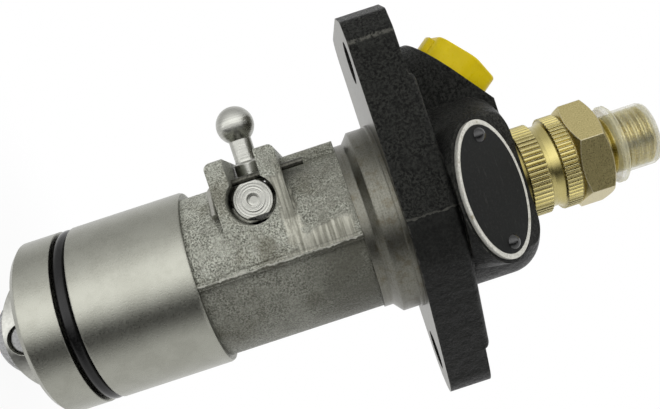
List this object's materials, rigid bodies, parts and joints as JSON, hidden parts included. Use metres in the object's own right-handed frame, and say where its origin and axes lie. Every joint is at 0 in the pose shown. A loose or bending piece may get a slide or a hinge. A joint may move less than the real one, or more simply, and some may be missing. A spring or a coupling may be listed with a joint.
{
  "type": "diesel injection pump",
  "caption": "Flange-mounted single-cylinder fuel injection pump with roller tappet, toothed control rod, ball stud lever point and capped fuel and delivery ports.",
  "frame": {"origin": "on the pump axis at the flange's mounting face", "axes": "+Z along the pump axis to the delivery end, -X to the ball stud and fuel inlet, -Y to the name plate"},
  "size_m": [0.0813, 0.0428, 0.138],
  "materials": {
    "housing": "rough casting, part painted, part machined",
    "rubber": "satin",
    "ground_steel": "satin",
    "wire_steel": "drawn",
    "hardened_steel": "ground",
    "spring_steel": "oiled",
    "copper": "annealed",
    "bronze": "turned",
    "yellow_zinc": "yellow zinc plated",
    "yellow_plastic": "satin",
    "clear_plastic": "translucent",
    "plate": "black with a bare rim",
    "rivet": "black"
  },
  "bodies": {
    "housing": {"pump_housing": "housing", "pilot_o_ring": "rubber", "barrel_locating_pin": "hardened_steel", "tappet_guide_pin": "hardened_steel", "rod_lock_wire": "wire_steel", "pump_barrel": "hardened_steel", "upper_spring_seat": "hardened_steel", "delivery_valve_seat": "hardened_steel", "valve_gasket": "copper", "filler_piece": "ground_steel", "delivery_valve_holder": "yellow_zinc", "delivery_valve_spring": "spring_steel", "name_plate": "plate", "plate_rivets": "rivet", "plunger_spring": "spring_steel"},
    "tappet": {"roller_tappet": "ground_steel", "roller_pin": "hardened_steel", "lower_spring_seat": "hardened_steel"},
    "roller": {"tappet_roller": "hardened_steel", "roller_bush": "bronze"},
    "plunger": {"pump_plunger": "hardened_steel"},
    "sleeve": {"control_sleeve": "hardened_steel"},
    "rod": {"control_rod": "ground_steel", "ball_stud": "ground_steel"},
    "valve": {"delivery_valve_cone": "hardened_steel"},
    "inlet_plug": {"inlet_cap": "yellow_plastic"},
    "thread_cover": {"thread_cap": "clear_plastic"}
  },
  "joints": [
    {"name": "control_rod_slide", "type": "slide", "parent": "housing", "child": "rod", "axis": [0, 1, 0], "range_m": [-0.008, 0.006]},
    {"name": "control_sleeve_turn", "type": "hinge", "parent": "housing", "child": "sleeve", "pos_m": [0, 0, -0.0258], "axis": [0, 0, 1], "range_deg": [-37.87, 50.32]},
    {"name": "tappet_lift", "type": "slide", "parent": "housing", "child": "tappet", "axis": [0, 0, 1], "range_m": [0, 0.009], "stiffness_N_per_m": 20000, "springref_m": -0.003, "deforming": ["plunger_spring"]},
    {"name": "roller_spin", "type": "hinge", "parent": "tappet", "child": "roller", "pos_m": [0, 0, -0.0752], "axis": [0, 1, 0], "continuous": true},
    {"name": "plunger_turn", "type": "hinge", "parent": "tappet", "child": "plunger", "pos_m": [0, 0, -0.05], "axis": [0, 0, 1], "range_deg": [-37.87, 50.32]},
    {"name": "delivery_valve_lift", "type": "slide", "parent": "housing", "child": "valve", "axis": [0, 0, 1], "range_m": [0, 0.0016], "stiffness_N_per_m": 6000, "springref_m": -0.0015, "deforming": ["delivery_valve_spring"]},
    {"name": "inlet_cap_pull", "type": "slide", "parent": "housing", "child": "inlet_plug", "axis": [-0.606, 0, 0.7955], "range_m": [0, 0.015]},
    {"name": "thread_cap_pull", "type": "slide", "parent": "housing", "child": "thread_cover", "axis": [0, 0, 1], "range_m": [0, 0.02]}
  ],
  "couplings": [
    {"joint": "control_sleeve_turn", "follows": "control_rod_slide", "rad_per_m": -108.7},
    {"joint": "plunger_turn", "follows": "control_rod_slide", "rad_per_m": -108.7}
  ]
}
